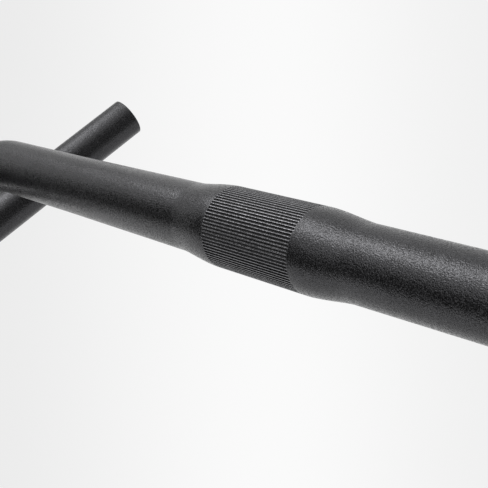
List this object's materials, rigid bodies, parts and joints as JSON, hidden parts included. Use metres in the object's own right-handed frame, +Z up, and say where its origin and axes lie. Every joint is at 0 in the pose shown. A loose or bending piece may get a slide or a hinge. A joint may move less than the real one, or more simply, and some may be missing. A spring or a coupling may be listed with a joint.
{
  "type": "gravel drop handlebar",
  "caption": "Flared gravel drop handlebar: one bent, butted aluminium tube with a knurled clamp bulge, tapered tops, short ramps, wide flared hooks and open bar ends.",
  "frame": {"origin": "centre of the knurled stem clamp area, on the tube's axis", "axes": "+X along the tops to the rider's right, -Y forward, away from the rider, +Z up; the ramps are level"},
  "size_m": [0.5748, 0.1986, 0.089],
  "materials": {
    "bar": "bead-blasted and black anodised, satin"
  },
  "bodies": {
    "root": {"handlebar": "bar"}
  },
  "joints": []
}
